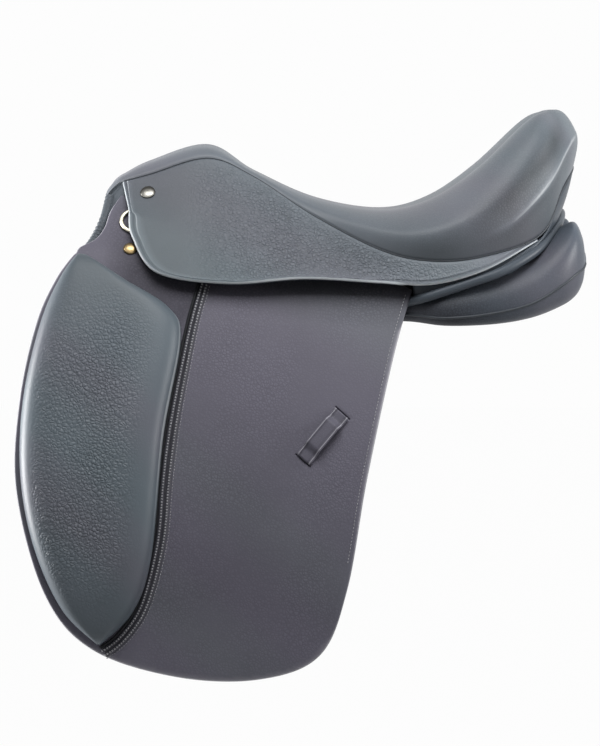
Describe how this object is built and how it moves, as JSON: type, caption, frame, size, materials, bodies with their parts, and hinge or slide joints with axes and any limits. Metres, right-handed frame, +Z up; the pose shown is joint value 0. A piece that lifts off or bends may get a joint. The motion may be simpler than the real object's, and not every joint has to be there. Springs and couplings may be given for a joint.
{
  "type": "dressage saddle",
  "caption": "Dressage saddle with a deep seat, skirts, long flaps with padded knee blocks, flocked panels, sprung tree, stirrup bars and girth straps; flaps, skirts and straps swing.",
  "frame": {"origin": "on the centre line, level with the underside of the panels at the middle of their length", "axes": "+X from the pommel to the cantle, +Z up, -Y the near (left) side"},
  "size_m": [0.5914, 0.5162, 0.5801],
  "materials": {
    "seat_leather": "pebbled calf leather, soft sheen, slate grey-black",
    "flap_leather": "grained flap leather, charcoal with a slight violet cast",
    "block_leather": "pebbled padded leather with smooth rounded edges",
    "trim_leather": "smooth rolled and stitched leather",
    "panel_leather": "smooth soft panel leather",
    "strap_leather": "stiff strap leather",
    "laminate": "laminated beech, lacquered",
    "spring_steel": "oiled spring steel",
    "forged_steel": "forged and tumbled steel",
    "plated_steel": "nickel plate",
    "brass": "polished brass, lightly worn",
    "webbing": "woven linen webbing",
    "foam": "latex foam",
    "flock": "wool flocking"
  },
  "bodies": {
    "saddle": {"tree_head": "laminate", "left_tree_bar": "laminate", "right_tree_bar": "laminate", "tree_cantle": "laminate", "gullet_plate": "spring_steel", "left_spring_steel": "spring_steel", "right_spring_steel": "spring_steel", "seat_web_long": "webbing", "seat_web_cross": "webbing", "seat_foam": "foam", "seat_cover": "seat_leather", "seat_piping": "trim_leather", "left_skirt_top": "seat_leather", "right_skirt_top": "seat_leather", "left_skirt_nail": "plated_steel", "right_skirt_nail": "plated_steel", "cantle_back": "seat_leather", "rear_roll": "trim_leather", "pommel_facing": "trim_leather", "front_roll": "trim_leather", "left_flap_head": "flap_leather", "right_flap_head": "flap_leather", "left_flap_nail": "brass", "right_flap_nail": "brass", "left_dee_chape": "trim_leather", "right_dee_chape": "trim_leather", "left_stirrup_bar": "forged_steel", "right_stirrup_bar": "forged_steel", "left_bar_rivets": "forged_steel", "right_bar_rivets": "forged_steel", "left_girth_webs": "webbing", "right_girth_webs": "webbing", "left_sweat_flap": "panel_leather", "right_sweat_flap": "panel_leather", "left_panel_flock": "flock", "right_panel_flock": "flock", "left_panel_base": "panel_leather", "right_panel_base": "panel_leather", "left_panel_gusset": "panel_leather", "right_panel_gusset": "panel_leather", "left_panel_lining": "panel_leather", "right_panel_lining": "panel_leather"},
    "left_flap_body": {"left_flap": "flap_leather", "left_knee_block": "block_leather", "left_keeper": "flap_leather"},
    "left_skirt_body": {"left_skirt": "seat_leather"},
    "left_catch_body": {"left_bar_catch": "forged_steel"},
    "left_dee_body": {"left_dee": "plated_steel"},
    "left_front_billet_body": {"left_front_billet": "strap_leather"},
    "left_rear_billet_body": {"left_rear_billet": "strap_leather"},
    "right_flap_body": {"right_flap": "flap_leather", "right_knee_block": "block_leather", "right_keeper": "flap_leather"},
    "right_skirt_body": {"right_skirt": "seat_leather"},
    "right_catch_body": {"right_bar_catch": "forged_steel"},
    "right_dee_body": {"right_dee": "plated_steel"},
    "right_front_billet_body": {"right_front_billet": "strap_leather"},
    "right_rear_billet_body": {"right_rear_billet": "strap_leather"}
  },
  "joints": [
    {"name": "left_flap_lift", "type": "hinge", "parent": "saddle", "child": "left_flap_body", "pos_m": [-0.277, -0.108, 0.083], "axis": [-0.9928, 0.0523, 0.1079], "range_deg": [0, 26]},
    {"name": "right_flap_lift", "type": "hinge", "parent": "saddle", "child": "right_flap_body", "pos_m": [-0.277, 0.108, 0.083], "axis": [0.9928, 0.0523, -0.1079], "range_deg": [0, 26]},
    {"name": "left_skirt_lift", "type": "hinge", "parent": "saddle", "child": "left_skirt_body", "pos_m": [-0.22448, -0.079, 0.125], "axis": [-0.9465, 0.2137, 0.2418], "range_deg": [0, 75]},
    {"name": "right_skirt_lift", "type": "hinge", "parent": "saddle", "child": "right_skirt_body", "pos_m": [-0.22448, 0.079, 0.125], "axis": [0.9465, 0.2137, -0.2418], "range_deg": [0, 75]},
    {"name": "left_catch_turn", "type": "hinge", "parent": "saddle", "child": "left_catch_body", "pos_m": [-0.08773, -0.09828, 0.08441], "axis": [0.0239, -0.843, 0.5374], "range_deg": [0, 60]},
    {"name": "right_catch_turn", "type": "hinge", "parent": "saddle", "child": "right_catch_body", "pos_m": [-0.08773, 0.09828, 0.08441], "axis": [-0.0239, -0.843, -0.5374], "range_deg": [0, 60]},
    {"name": "left_dee_swing", "type": "hinge", "parent": "saddle", "child": "left_dee_body", "pos_m": [-0.2157, -0.07946, 0.11417], "axis": [0.1145, 0.6811, 0.7232], "range_deg": [0, 6]},
    {"name": "right_dee_swing", "type": "hinge", "parent": "saddle", "child": "right_dee_body", "pos_m": [-0.2157, 0.07946, 0.11417], "axis": [-0.1145, 0.6811, -0.7232], "range_deg": [0, 6]},
    {"name": "left_front_billet_swing", "type": "hinge", "parent": "saddle", "child": "left_front_billet_body", "pos_m": [-0.13054, -0.11739, 0.04496], "axis": [0.0028, -0.8894, 0.4572], "range_deg": [-6, 6]},
    {"name": "right_front_billet_swing", "type": "hinge", "parent": "saddle", "child": "right_front_billet_body", "pos_m": [-0.13054, 0.11739, 0.04496], "axis": [-0.0028, -0.8894, -0.4572], "range_deg": [-6, 6]},
    {"name": "left_rear_billet_swing", "type": "hinge", "parent": "saddle", "child": "left_rear_billet_body", "pos_m": [-0.00644, -0.12393, 0.03148], "axis": [0.0028, -0.8894, 0.4572], "range_deg": [-6, 6]},
    {"name": "right_rear_billet_swing", "type": "hinge", "parent": "saddle", "child": "right_rear_billet_body", "pos_m": [-0.00644, 0.12393, 0.03148], "axis": [-0.0028, -0.8894, -0.4572], "range_deg": [-6, 6]}
  ]
}
